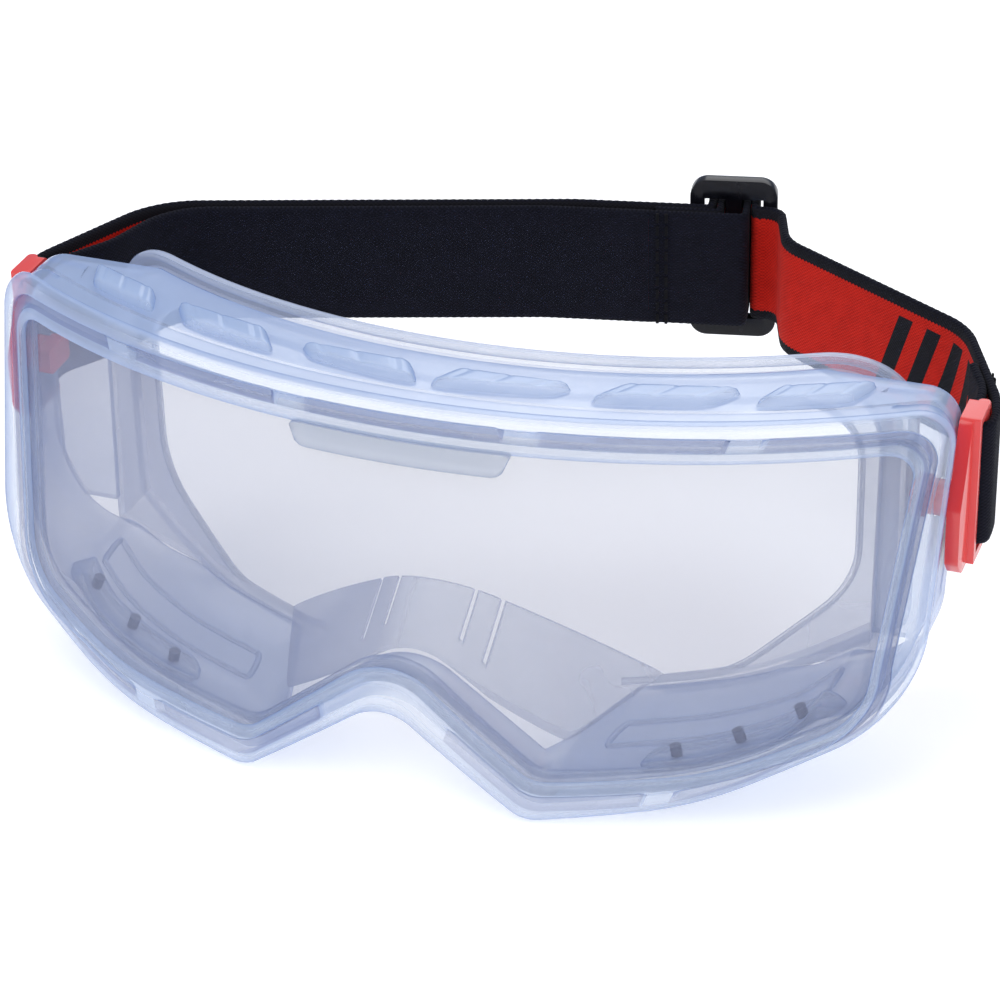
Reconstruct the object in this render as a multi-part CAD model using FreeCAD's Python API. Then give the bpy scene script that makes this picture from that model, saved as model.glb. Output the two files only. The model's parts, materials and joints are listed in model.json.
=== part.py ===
import FreeCAD, Part
import math
import os

V = FreeCAD.Vector
os.makedirs("parts", exist_ok=True)

# Sports protective goggles, in millimetres.
# X is the wearer's left to right as seen from the front, Y runs back to the head, Z is up.
# The origin is the middle of the face opening, on the plane of the temples, at eye height.

# ---- front of the goggles -------------------------------------------------
OPENING_HALF = 73.8       # half width of the view through the lens
OPENING_TOP = 22.0        # top edge of the view through the lens
OPENING_HEIGHT = 51.0     # from there to its two lowest corners
NOSE_RISE = 18.1          # the nose arch rises above those corners
NOSE_HALF = 23.0          # half the distance between the rim's two lowest corners
LOW_CORNER = 0.6775       # the gentle corner of the lower edge, as a share of the half width
SIDE_BAND = 4.8           # width of the rim's face at the sides,
TOP_BAND = 6.0            # above
LOW_BAND = 5.6            # and below
RIM_HALF = OPENING_HALF + SIDE_BAND
RIM_TOP = OPENING_TOP + TOP_BAND
OPENING_LOW = OPENING_TOP - OPENING_HEIGHT
RIM_LOW = OPENING_LOW - LOW_BAND
LENS_CURVE = 133.0        # plan radius of the front surface
RAKE = 0.19               # the front surface leans back by this much per millimetre of height
SIDE_Y = -18.5            # front surface at the rim's sides, at eye height
FRONT_Y = SIDE_Y - LENS_CURVE + math.sqrt(LENS_CURVE ** 2 - RIM_HALF ** 2)
RIM_DEPTH = 6.2           # front to back thickness of the rim
BEAD_DEPTH = 3.2          # depth of the proud bead round the outside of the rim
BEAD_PROUD = 1.4          # how far that bead stands out from the walls

# ---- lens -----------------------------------------------------------------
LENS_T = 1.9
LENS_SET = 2.1            # depth of the lens behind the front of the rim
LENS_LAP = 2.4            # how far the lens runs under the rim
LENS_FIT = 0.05
TAB_HALF = 17.0           # finger tab moulded below the middle of the top rim
TAB_DROP = 3.2
TAB_T = 1.0

# ---- channel in the face of the rim ---------------------------------------
CHANNEL_IN = 1.9          # from the opening to the channel
CHANNEL_W = 2.1
CHANNEL_D = 1.6
BRIDGE_W = 5.0            # each bridge across the channel
TOP_BRIDGES = (17.9, 49.5)
LOW_BRIDGE = 43.8
NOSE_BRIDGE_HALF = 10.5

# ---- walls behind the rim -------------------------------------------------
WALL = 2.0
FACE_CURVE = 110.0        # plan radius of the face
TEMPLE_Y = 8.5            # edge of the seal at the temples
FACE_RAKE = -0.05         # the face surface moves forward with height
WING_REAR = -3.0          # rear edge of the side walls
LEDGE_T = 1.6             # ledge that turns in from the side walls to the seal
SEAL_STEP = 3.0           # the walls end this far in front of the brow edge
SEAL_T = 1.3
SEAL_HALF = RIM_HALF - 12.6   # half width of the seal at the temples
BROW_Y = TEMPLE_Y - FACE_CURVE + math.sqrt(FACE_CURVE ** 2 - SEAL_HALF ** 2)
FACE_BAND = 5.5           # width of the lip at the temples
SEAL_INSET = WALL - SEAL_T   # outside of the walls to outside of the seal
SEAL_TOP_R = 12.0         # upper outer corners of the seal
SEAL_LOW_R = 15.0         # lower outer corners of the seal
LIP_PROUD = 2.0           # the lip stands out from the seal by this much

# ---- nose -----------------------------------------------------------------
NOSE_FRONT_Y = -42.0
NOSE_REAR_Y = 12.0
NOSE_FRONT_TOP = RIM_LOW + 14.2   # where the two flanks would meet, in front and behind
NOSE_REAR_TOP = RIM_LOW + 67.6
NOSE_FRONT_SLOPE = 0.68
NOSE_REAR_SLOPE = 1.65
NOSE_FRONT_HALF = 26.0
NOSE_REAR_HALF = 40.0
NOSE_FRONT_R = 8.3
NOSE_REAR_R = 20.0
NOSE_WALL_REAR = -34.0    # rear edge of the frame's own nose wall
FLAP_T = 0.9
FLAP_REAR = -25.5         # rear edge of the soft flap over the nose, at its top
FLAP_TOP = RIM_LOW + 26.6
FLAP_SLOPE = 0.85         # the flap's edge runs back by this much per millimetre down
SLIT_W = 0.7
SLIT_LEN = 5.0
SLIT_X = (6.4, 10.2)

# ---- vents ----------------------------------------------------------------
ROOF_VENT_FRONT = 10.0
ROOF_VENT_DEPTH = 6.0
ROOF_VENT_SHARES = ((0.027, 0.285), (0.366, 0.610), (0.678, 0.868))   # of the opening's half width
ROOF_SLOT_INSET = 1.0
ROOF_COVER_T = 1.8
ROOF_COVER_SINK = 0.8
LOW_VENT_FRONT = 6.8
LOW_VENT_DEPTH = 7.0
LOW_VENT_SHARES = (0.501, 0.894)
LOW_VENT_TOP = -8.0       # the lower vents are all below this
LOW_COVER_T = 1.5
VENT_SLOT_W = 2.4
LOW_SLOT_INSET = 1.5
LOW_SLOT_STEP = 4.4       # from each pin to the air slot beside it
PIN_R = 0.9
PIN_STAND = 0.5           # the pins stand this far out of the cover
PIN_LIFT = 0.04           # the wall is curved below each pin's flat foot
PIN_SHARES = (0.576, 0.698, 0.813)
ROOF_VENT_SPANS = [(a * OPENING_HALF, b * OPENING_HALF) for a, b in ROOF_VENT_SHARES]
LOW_VENT_X = [a * OPENING_HALF for a in LOW_VENT_SHARES]
PIN_X = [a * OPENING_HALF for a in PIN_SHARES]

# ---- strap and its clips --------------------------------------------------
STRAP_W = 21.6
STRAP_T = 1.4
STRAP_TILT = 3.0          # the strap rises to the rear, in degrees about the studs
PIVOT_Y = SIDE_Y + 9.6
PIVOT_Z = 11.0
STRAP_Z = PIVOT_Z         # middle of the strap, before it is tilted
NECK_R = 2.8
NECK_FIT = 0.05
EAR_W = 4.8               # the hole's slot, through which the stud's head is put in
EAR_H = 14.0
HEAD_L = 7.0
HEAD_W = 4.4
HEAD_T = 2.4
HEAD_ROOM = 0.8           # the head turns in a pocket this much larger
HEAD_OUT = RIM_HALF - 4.4     # the head's face against the wall
CLIP_IN = RIM_HALF - BEAD_PROUD + 0.4   # inner face of the clip, behind the rim's bead
CLIP_T = 2.1
CLIP_NOSE = 3.4           # the clip reaches this far ahead of the stud
BAR_IN = RIM_HALF + 0.4       # the bar and its lugs stand out further, so the strap clears the wall
BAR_T = 1.8
BAR_FRONT = WING_REAR + 0.6
BAR_W = 3.0
BAR_PLAY = 0.5            # the strap's slot is longer than the strap is wide, at each end
BAR_R = 0.8
SLOT_W = 2.5              # the clip's strap slot
LUG = 1.3                 # above and below the strap's slot
GAP = 0.1                 # strap to hard parts that it wraps
STITCH_COUNT = 9
STITCH_PITCH = 2.4
STITCH_LEN = 1.7
STITCH_W = 0.5
STITCH_RISE = 0.25
STITCH_ROW = 1.5

# ---- slider ---------------------------------------------------------------
SLIDER_ANGLE = 12.0
SLIDER_T = 2.2
SLIDER_BAR = 2.4
SLIDER_MID = 2.8
SLIDER_SLOT = 3.6
SLIDER_END = 3.4
SLIDER_CLEAR = 0.3        # slider to the strap that it slides on
TRAVEL = 12.0
ELBOW = (-3.0, 50.6)      # where the outer run meets the straight stretch that carries the slider
ELBOW_TO_SLIDER = 27.1

FAR = 120.0               # beyond the whole object


# ---- plane geometry -------------------------------------------------------
def turned(points, radii, closed=False):
    """Edges of straight runs joined by tangent arcs, in a plane."""
    n = len(points)
    corners = []
    for i, p in enumerate(points):
        r = radii[i]
        if r == 0 or (not closed and i in (0, n - 1)):
            corners.append((p, None, p))
            continue
        a = (points[i - 1] - p).normalize()
        b = (points[(i + 1) % n] - p).normalize()
        half = a.getAngle(b) / 2.0
        reach = r / math.tan(half)
        middle = (a + b).normalize() * (r / math.sin(half) - r)
        corners.append((p + a * reach, p + middle, p + b * reach))
    edges = []
    for i, (first, mid, last) in enumerate(corners):
        if mid is not None:
            edges.append(Part.Arc(first, mid, last).toShape())
        if i == n - 1 and not closed:
            break
        after = corners[(i + 1) % n][0]
        if (after - last).Length > 1e-6:
            edges.append(Part.LineSegment(last, after).toShape())
    return edges


def mirrored(half):
    """A closed outline from its right half, which runs from top centre to bottom centre."""
    right = [p for p in half if p[0] > 0]
    left = [(-x, z, r) for x, z, r in reversed(right)]
    middle = [p for p in half if p[0] == 0]
    return right + middle + left


def outline_wire(corners, y):
    points = [V(x, y, z) for x, z, r in corners]
    return Part.Wire(turned(points, [r for x, z, r in corners], closed=True))


def prism(wire, length):
    return Part.Face(wire).extrude(V(0, length, 0))


def grown(wire, distance):
    return wire.makeOffset2D(distance) if distance else wire


# ---- the rim's outlines, as seen from the front ---------------------------
def opening_corners():
    return mirrored([
        (OPENING_HALF, OPENING_TOP, 4.0),
        (OPENING_HALF - 4.2, OPENING_LOW + 9.5, 9.0),
        (OPENING_HALF * LOW_CORNER, OPENING_LOW + 2.4, 60.0),
        (NOSE_HALF + 0.5, OPENING_LOW, 6.0),
        (0, OPENING_LOW + NOSE_RISE, 11.5)])


def rim_corners():
    return mirrored([
        (RIM_HALF, RIM_TOP, 6.0),
        (RIM_HALF - 1.6, RIM_LOW + 15.6, 18.0),
        (OPENING_HALF * LOW_CORNER - 2.0, RIM_LOW + 3.6, 60.0),
        (NOSE_HALF, RIM_LOW, 6.0),
        (0, RIM_LOW + NOSE_RISE - 2.2, NOSE_FRONT_R)])


def face_corners():
    return mirrored([
        (SEAL_HALF - FACE_BAND, OPENING_TOP - 1.5, 12.0),
        (SEAL_HALF - FACE_BAND, OPENING_LOW + 15.0, 14.0),
        (SEAL_HALF - 23.0, OPENING_LOW, 14.0),
        (NOSE_HALF + 1.0, OPENING_LOW - 2.5, 5.0)])


# ---- curved slabs ---------------------------------------------------------
def plan_band(centre_y, outer, inner, z):
    """A band between two arcs about (0, centre_y), open towards +Y."""
    reach = math.radians(60)
    ends = [V(math.sin(a) * r, centre_y - math.cos(a) * r, z) for r in (outer, inner) for a in (-reach, reach)]
    tops = [V(0, centre_y - r, z) for r in (outer, inner)]
    edges = [
        Part.Arc(ends[0], tops[0], ends[1]).toShape(),
        Part.LineSegment(ends[1], ends[3]).toShape(),
        Part.Arc(ends[3], tops[1], ends[2]).toShape(),
        Part.LineSegment(ends[2], ends[0]).toShape()]
    return Part.Face(Part.Wire(edges))


def front_slab(near, far):
    """Between two depths behind the raked front surface."""
    low = -FAR
    centre = FRONT_Y + LENS_CURVE + RAKE * low
    band = plan_band(centre, LENS_CURVE - near, LENS_CURVE - far, low)
    return band.extrude(V(0, RAKE * 2 * FAR, 2 * FAR))


def face_slab(near, far):
    """Between two distances in front of the face surface."""
    low = -FAR
    centre = BROW_Y + FACE_CURVE + FACE_RAKE * low
    band = plan_band(centre, FACE_CURVE + near, FACE_CURVE + far, low)
    return band.extrude(V(0, FACE_RAKE * 2 * FAR, 2 * FAR))


def block(x0, x1, y0, y1, z0, z1):
    return Part.makeBox(x1 - x0, y1 - y0, z1 - z0, V(x0, y0, z0))


def both_sides(shape):
    return [shape, shape.mirror(V(0, 0, 0), V(1, 0, 0))]


def wall_prism(inset):
    """Everything inside the walls' outline, inset from the rim's."""
    return prism(grown(outline_wire(rim_corners(), -FAR), -inset), 2 * FAR)


def opening_prism(margin):
    return prism(grown(outline_wire(opening_corners(), -FAR), margin), 2 * FAR)


def nose_form(margin):
    """The wearer's nose: an arch that widens and rises to the rear."""
    wires = []
    for y, top, slope, half, r in (
            (NOSE_FRONT_Y, NOSE_FRONT_TOP, NOSE_FRONT_SLOPE, NOSE_FRONT_HALF, NOSE_FRONT_R),
            (NOSE_REAR_Y, NOSE_REAR_TOP, NOSE_REAR_SLOPE, NOSE_REAR_HALF, NOSE_REAR_R)):
        corners = [(half, top - slope * half, 3.0), (half, -FAR, 0), (-half, -FAR, 0),
                   (-half, top - slope * half, 3.0), (0, top, r)]
        wires.append(grown(outline_wire(corners, y), margin))
    return Part.makeLoft(wires, True, True)


# ---- frame ----------------------------------------------------------------
def rim():
    bead = wall_prism(0).common(front_slab(0, BEAD_DEPTH))
    ring = wall_prism(BEAD_PROUD).common(front_slab(BEAD_DEPTH - 1, RIM_DEPTH))
    solid = bead.fuse(ring).cut(opening_prism(0))
    groove = opening_prism(LENS_LAP).common(front_slab(LENS_SET, LENS_SET + LENS_T + 2 * LENS_FIT))
    return solid.cut(groove).cut(channel()).fuse(finger_tab())


def channel():
    ring = opening_prism(CHANNEL_IN + CHANNEL_W).cut(opening_prism(CHANNEL_IN))
    cut = ring.common(front_slab(-2, CHANNEL_D))
    half = BRIDGE_W / 2
    bridges = [block(-NOSE_BRIDGE_HALF, NOSE_BRIDGE_HALF, -FAR, FAR, -FAR, 0)]
    for x in TOP_BRIDGES:
        bridges += both_sides(block(x - half, x + half, -FAR, FAR, 0, FAR))
    bridges += both_sides(block(LOW_BRIDGE - half, LOW_BRIDGE + half, -FAR, FAR, -FAR, 0))
    return cut.cut(bridges)


def finger_tab():
    strip_box = block(-TAB_HALF, TAB_HALF, -FAR, 0, OPENING_TOP - TAB_DROP, OPENING_TOP + 1)
    return strip_box.common(front_slab(LENS_SET - TAB_T - 0.2, LENS_SET - 0.2))


def behind_rim():
    """Where the walls are: from the rim back to their rear edge."""
    room = front_slab(RIM_DEPTH - 1, FAR * 0.7).common(face_slab(FAR * 0.6, SEAL_STEP))
    return room.common(block(-FAR, FAR, -FAR, WING_REAR, -FAR, FAR))


def walls():
    inner = wall_prism(BEAD_PROUD + WALL)
    shell = wall_prism(BEAD_PROUD).cut(inner)
    nose = nose_form(WALL).cut(nose_form(0)).common(inner)
    nose = nose.common(block(-FAR, FAR, -FAR, NOSE_WALL_REAR, -FAR, FAR))
    ledge = inner.cut(seal_outside(-SEAL_T))
    ledge = ledge.common(block(-FAR, FAR, WING_REAR - LEDGE_T, WING_REAR, -FAR, FAR))
    return shell.fuse([nose, ledge]).common(behind_rim())


def stud_holes():
    """Round hole with a slot through it, and room inside for the stud's head to turn."""
    hole = Part.makeCylinder(NECK_R + NECK_FIT, 12, V(RIM_HALF - 9, PIVOT_Y, PIVOT_Z), V(1, 0, 0))
    ear = block(RIM_HALF - 9, RIM_HALF + 3, PIVOT_Y - EAR_W / 2, PIVOT_Y + EAR_W / 2,
                PIVOT_Z - EAR_H / 2, PIVOT_Z + EAR_H / 2)
    pocket = Part.makeCylinder(HEAD_L / 2 + HEAD_ROOM, 6, V(HEAD_OUT - 5.7, PIVOT_Y, PIVOT_Z), V(1, 0, 0))
    return both_sides(hole.fuse([ear, pocket]))


def roof_vent(span, shrink):
    """The seat of one roof vent cover, or the cover itself when it is shrunk."""
    top = RIM_TOP - BEAD_PROUD
    room = block(span[0] + shrink, span[1] - shrink, -FAR, FAR, top - ROOF_COVER_SINK,
                 top - ROOF_COVER_SINK + ROOF_COVER_T)
    return room.common(front_slab(ROOF_VENT_FRONT + shrink, ROOF_VENT_FRONT + ROOF_VENT_DEPTH - shrink))


def roof_slots():
    """Two air slots through the roof below each cover."""
    slots = []
    for x0, x1 in ROOF_VENT_SPANS:
        for share in (1 / 3, 2 / 3):
            x = x0 + (x1 - x0) * share
            slot = block(x - VENT_SLOT_W / 2, x + VENT_SLOT_W / 2, -FAR, FAR, 0, RIM_TOP)
            near = ROOF_VENT_FRONT + ROOF_SLOT_INSET
            slot = slot.common(front_slab(near, near + ROOF_VENT_DEPTH - 2 * ROOF_SLOT_INSET))
            slots += both_sides(slot)
    return slots


def low_slots():
    """An air slot through the lower wall beside each pin."""
    near = LOW_VENT_FRONT + LOW_SLOT_INSET
    band = front_slab(near, near + LOW_VENT_DEPTH - 2 * LOW_SLOT_INSET)
    slots = []
    for pin in PIN_X:
        x = pin + LOW_SLOT_STEP
        slot = block(x - VENT_SLOT_W / 2, x + VENT_SLOT_W / 2, -FAR, FAR, -FAR, LOW_VENT_TOP)
        slots += both_sides(slot.common(band))
    return slots


def low_vent_cover():
    """A strip on the inside of the lower wall, on the +X side."""
    seat = BEAD_PROUD + WALL + LENS_FIT
    strip_room = wall_prism(seat).cut(wall_prism(seat + LOW_COVER_T))
    strip_room = strip_room.common(front_slab(LOW_VENT_FRONT, LOW_VENT_FRONT + LOW_VENT_DEPTH))
    return strip_room.common(block(LOW_VENT_X[0], LOW_VENT_X[1], -FAR, FAR, -FAR, LOW_VENT_TOP))


def front_y(x, z):
    """Y of the front surface."""
    return FRONT_Y + LENS_CURVE - math.sqrt(LENS_CURVE ** 2 - x ** 2) + RAKE * z


def vent_pins(radius, side):
    """Pins that stand on the lower wall and pass through its vent cover."""
    outline = grown(outline_wire(rim_corners(), 0), -BEAD_PROUD - WALL)
    pins = []
    for x in PIN_X:
        line = Part.LineSegment(V(x, 0, -FAR), V(x, 0, LOW_VENT_TOP)).toShape()
        foot = line.distToShape(outline)[1][0][0]
        near = line.translated(V(1, 0, 0)).distToShape(outline)[1][0][0]
        along = (near - foot).normalize()
        up = V(-along.z, 0, along.x)
        y = front_y(x, foot.z) + LOW_VENT_FRONT + LOW_VENT_DEPTH / 2
        foot = V(x, y, foot.z) + up * PIN_LIFT
        pins.append(Part.makeCylinder(radius, LOW_COVER_T + PIN_STAND, foot, up))
    pins = Part.Compound(pins)
    return pins if side > 0 else pins.mirror(V(0, 0, 0), V(1, 0, 0))


def frame_body():
    solid = rim().fuse(walls()).cut(nose_form(0)).cut(stud_holes())
    seats = []
    for span in ROOF_VENT_SPANS:
        seats += both_sides(roof_vent(span, 0))
    return solid.cut(seats + roof_slots() + low_slots())


def lens():
    near = LENS_SET + LENS_FIT
    return opening_prism(LENS_LAP - LENS_FIT).common(front_slab(near, near + LENS_T))


# ---- face seal ------------------------------------------------------------
def seal_outside(margin):
    """Everything inside the seal: as the walls inside, but narrower."""
    low = RIM_LOW + 0.6
    top = RIM_TOP - BEAD_PROUD - SEAL_INSET
    corners = [(SEAL_HALF, top, SEAL_TOP_R), (SEAL_HALF, low, SEAL_LOW_R),
               (-SEAL_HALF, low, SEAL_LOW_R), (-SEAL_HALF, top, SEAL_TOP_R)]
    narrow = prism(grown(outline_wire(corners, -FAR), margin), 2 * FAR)
    return wall_prism(BEAD_PROUD + SEAL_INSET - margin).common(narrow)


def nose_flap():
    film = nose_form(FLAP_T).cut(nose_form(0))
    drop = FLAP_TOP + FAR
    side = [V(0, NOSE_WALL_REAR, FAR), V(0, FLAP_REAR, FAR), V(0, FLAP_REAR, FLAP_TOP),
            V(0, FLAP_REAR + FLAP_SLOPE * drop, -FAR), V(0, NOSE_WALL_REAR, -FAR)]
    keep = Part.Face(Part.makePolygon(side + side[:1])).extrude(V(2 * FAR, 0, 0))
    film = film.common(keep.translated(V(-FAR, 0, 0)))
    film = film.common(seal_outside(-SEAL_T)).common(face_slab(FAR * 0.6, 0))
    for x in SLIT_X:
        slit = block(x - SLIT_W / 2, x + SLIT_W / 2, FLAP_REAR - SLIT_LEN, FAR, -FAR, FAR)
        film = film.cut(both_sides(slit.common(block(-FAR, FAR, -FAR, FLAP_REAR + SLIT_LEN, -FAR, FAR))))
    return film


def face_seal():
    skirt = seal_outside(0).cut(seal_outside(-SEAL_T)).common(face_slab(FAR * 0.6, 0))
    ahead = face_slab(FAR, SEAL_STEP).common(block(-FAR, FAR, -FAR, WING_REAR, -FAR, FAR))
    opening = prism(outline_wire(face_corners(), -FAR), 2 * FAR)
    lip = seal_outside(LIP_PROUD).cut(opening).common(face_slab(SEAL_T, 0))
    ring = skirt.cut(ahead).fuse(lip).cut(nose_form(0))
    return ring.fuse(nose_flap())


# ---- clips ----------------------------------------------------------------
def strap_clip():
    """The clip on the +X side: a plate with a strap bar, and the stud that holds it in the wall."""
    front = PIVOT_Y - CLIP_NOSE
    back = BAR_FRONT + BAR_W
    half = STRAP_W / 2 + BAR_PLAY
    low = STRAP_Z - half - LUG
    high = STRAP_Z + half + LUG
    outline = [
        (front + 0.2, low + 3, 2.0), (front + 2.8, low, 2.0), (back, low, 1.0),
        (back, high, 1.0), (front + 5.7, high, 1.5), (front + 3.0, high - 7, 6.0), (front, PIVOT_Z - 0.5, 4.0)]
    points = [V(CLIP_IN, y, z) for y, z, r in outline]
    wire = Part.Wire(turned(points, [r for y, z, r in outline], closed=True))
    plate = Part.Face(wire).extrude(V(BAR_IN + BAR_T - CLIP_IN, 0, 0))
    step = BAR_FRONT - SLOT_W - LUG
    plate = plate.cut(block(CLIP_IN + CLIP_T, FAR, -FAR, step, -FAR, FAR))
    open_back = block(CLIP_IN - 1, FAR, BAR_FRONT - SLOT_W, back + 1, STRAP_Z - half, STRAP_Z + half)
    bar = block(BAR_IN, BAR_IN + BAR_T, BAR_FRONT, back, low, high)
    bar = bar.makeFillet(BAR_R, [e for e in bar.Edges if e.Vertexes[0].Z != e.Vertexes[1].Z])
    neck = Part.makeCylinder(NECK_R, CLIP_IN + 1 - HEAD_OUT, V(HEAD_OUT, PIVOT_Y, PIVOT_Z), V(1, 0, 0))
    head = block(HEAD_OUT - HEAD_T, HEAD_OUT, PIVOT_Y - HEAD_L / 2, PIVOT_Y + HEAD_L / 2,
                 PIVOT_Z - HEAD_W / 2, PIVOT_Z + HEAD_W / 2)
    head = head.makeFillet(1.0, [e for e in head.Edges if e.Vertexes[0].X != e.Vertexes[1].X])
    return plate.cut(open_back).fuse([bar, neck, head]).removeSplitter()


# ---- strap ----------------------------------------------------------------
def local(u, v):
    """A place by the slider: u along the strap, v away from the head."""
    a = math.radians(SLIDER_ANGLE)
    middle = STRAP_T / 2 + SLIDER_CLEAR + SLIDER_T / 2
    x = ELBOW[0] + (ELBOW_TO_SLIDER + u) * math.cos(a) - (middle + v) * math.sin(a)
    y = ELBOW[1] + (ELBOW_TO_SLIDER + u) * math.sin(a) + (middle + v) * math.cos(a)
    return (x, y)


RUN_V = -(STRAP_T / 2 + SLIDER_CLEAR + SLIDER_T / 2)
LAYER = STRAP_T + GAP
TAIL_U = SLIDER_MID / 2 + GAP + STRAP_T / 2
TAIL_V = SLIDER_T / 2 + GAP + STRAP_T / 2 + 0.1
WEAVE_U = TAIL_U + LAYER
WEAVE_V = TAIL_V + LAYER + 0.05
WEAVE_END = SLIDER_MID / 2 + SLIDER_SLOT + 0.2
RUN_END = WEAVE_END + TRAVEL + 6.8
INNER_V = RUN_V - 2 * LAYER
TAIL_END = 14.0


def beside(points, distance):
    """The same run of points, moved to its left."""
    moved = []
    for i, p in enumerate(points):
        ways = []
        if i > 0:
            ways.append((p - points[i - 1]).normalize())
        if i < len(points) - 1:
            ways.append((points[i + 1] - p).normalize())
        normals = [V(-w.y, w.x, 0) for w in ways]
        total = normals[0] + normals[-1]
        moved.append(p + total * (2 * distance / total.Length ** 2))
    return moved


def webbing(route):
    """A flat band on edge, along a plan route of (x, y, bend radius)."""
    points = [V(x, y, STRAP_Z - STRAP_W / 2) for x, y, r in route]
    sides = []
    for distance in (STRAP_T / 2, -STRAP_T / 2):
        radii = []
        for i, (x, y, r) in enumerate(route):
            if r == 0:
                radii.append(0)
                continue
            turn = (points[i] - points[i - 1]).cross(points[i + 1] - points[i]).z
            radii.append(r - math.copysign(1, turn) * distance)
        sides.append(turned(beside(points, distance), radii))
    left, right = sides
    caps = []
    for i in (0, -1):
        ends = [beside(points, d)[i] for d in (STRAP_T / 2, -STRAP_T / 2)]
        caps.append(Part.LineSegment(ends[0], ends[1]).toShape())
    edges = Part.__sortEdges__(left + right + caps)
    return Part.Face(Part.Wire(edges)).extrude(V(0, 0, STRAP_W))


def by_slider(*places):
    return [local(u, v) + (r,) for u, v, r in places]


CLIP_BAR_X = BAR_IN + BAR_T / 2
LOOP = BAR_T / 2 + GAP + STRAP_T / 2          # from the bar's middle to each layer of the loop
LOOP_Y = BAR_FRONT - GAP - STRAP_T / 2
LOOP_R = BAR_R + GAP + STRAP_T / 2
LOOP_BEND_Y = 3.5             # the strap turns in towards the head here
RIGHT_BEND = (35.5, 47.0)
RIGHT_SHOULDER = (CLIP_BAR_X - 8.8, 26.3)
LEFT_SHOULDER = (9.0 - CLIP_BAR_X, 28.6)
INNER_FRONT = (8.2 - CLIP_BAR_X, 13.0)
INNER_SHOULDER = (12.2 - CLIP_BAR_X, 27.0)
CUT_SHARE = 0.28              # where the slack ends between the bend and the shoulder
SEWN_LEN = 13.0               # length of the sewn end, from where the strap turns in
SEAM = STRAP_T + 0.05         # between the two layers of the sewn end
SEAM_Y = 8.0                  # distance of the clip's stitching from the turn


def right_run():
    """Where the strap turns in behind the right clip, its direction there, and the outward normal."""
    turn = V(CLIP_BAR_X + LOOP, LOOP_BEND_Y, 0)
    way = (V(*RIGHT_SHOULDER) - turn).normalize()
    return turn, way, V(way.y, -way.x, 0)


def right_cut():
    (x0, y0), (x1, y1) = RIGHT_BEND, RIGHT_SHOULDER
    return (x0 + (x1 - x0) * CUT_SHARE, y0 + (y1 - y0) * CUT_SHARE, 0)


def sewn_end():
    """The inner layer behind the right clip: its free end, and where it joins the loop."""
    turn, way, out = right_run()
    first = turn - out * SEAM
    end = first + way * SEWN_LEN
    bend = first + way * ((CLIP_BAR_X - LOOP - first.x) / way.x)
    return [(end.x, end.y, 0), (bend.x, bend.y, 14.0)]


def strap_routes():
    slack_start = by_slider((WEAVE_END, RUN_V, 0), (8.2, RUN_V, 3.0))
    inner_slack_end = by_slider((-RUN_END - 2, INNER_V, 0))
    return {
        "strap_right_run": sewn_end() + [
            (CLIP_BAR_X - LOOP, LOOP_Y, LOOP_R), (CLIP_BAR_X + LOOP, LOOP_Y, LOOP_R),
            (CLIP_BAR_X + LOOP, LOOP_BEND_Y, 20.0), RIGHT_SHOULDER + (14.0,), right_cut()],
        "strap_right_slack": slack_start + [RIGHT_BEND + (8.0,), right_cut()],
        "strap_weave": by_slider(
            (WEAVE_END, RUN_V, 0), (WEAVE_U, RUN_V, 0.9), (WEAVE_U, WEAVE_V, 0.9),
            (-WEAVE_U, WEAVE_V, 0.9), (-WEAVE_U, RUN_V, 0.9), (-WEAVE_END, RUN_V, 0)),
        "strap_left_slack": by_slider((-WEAVE_END, RUN_V, 0), (-RUN_END, RUN_V, 0)),
        "strap_left_run": by_slider((-RUN_END, RUN_V, 0)) + [
            ELBOW + (30.0,), LEFT_SHOULDER + (16.0,), (-CLIP_BAR_X - LOOP, LOOP_BEND_Y, 20.0),
            (-CLIP_BAR_X - LOOP, LOOP_Y, LOOP_R), (-CLIP_BAR_X + LOOP, LOOP_Y, LOOP_R),
            (-CLIP_BAR_X + LOOP, 3.0, 6.0), INNER_FRONT + (14.0,), INNER_SHOULDER + (13.0,),
            by_slider((-RUN_END - 8, INNER_V, 30.0))[0], inner_slack_end[0]],
        "strap_inner_slack": inner_slack_end + by_slider((-TAIL_END, INNER_V, 0)),
        "strap_tail": by_slider(
            (-TAIL_END, INNER_V, 0), (TAIL_U, INNER_V, 0.9), (TAIL_U, TAIL_V, 0.9),
            (-TAIL_U, TAIL_V, 0.9), (-TAIL_U, RUN_V - LAYER, 0.9), (1 - TAIL_END, RUN_V - LAYER, 0))}


def stitches(start, way, outward):
    """Two zigzag rows of thread on a strap's face, across its width."""
    rows = []
    for row in range(2):
        for i in range(STITCH_COUNT):
            z = STRAP_Z + STITCH_PITCH * (i - (STITCH_COUNT - 1) / 2)
            stitch = Part.makeBox(STITCH_W, STITCH_RISE, STITCH_LEN, V(-STITCH_W / 2, 0, -STITCH_LEN / 2))
            rows.append((stitch, row, z))
    turn = FreeCAD.Rotation(V(0, 1, 0), outward)
    placed = []
    for stitch, row, z in rows:
        stitch.Placement = FreeCAD.Placement(start + way * (STITCH_ROW * row) + V(0, 0, z), turn)
        placed.append(stitch)
    return Part.Compound(placed)


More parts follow.
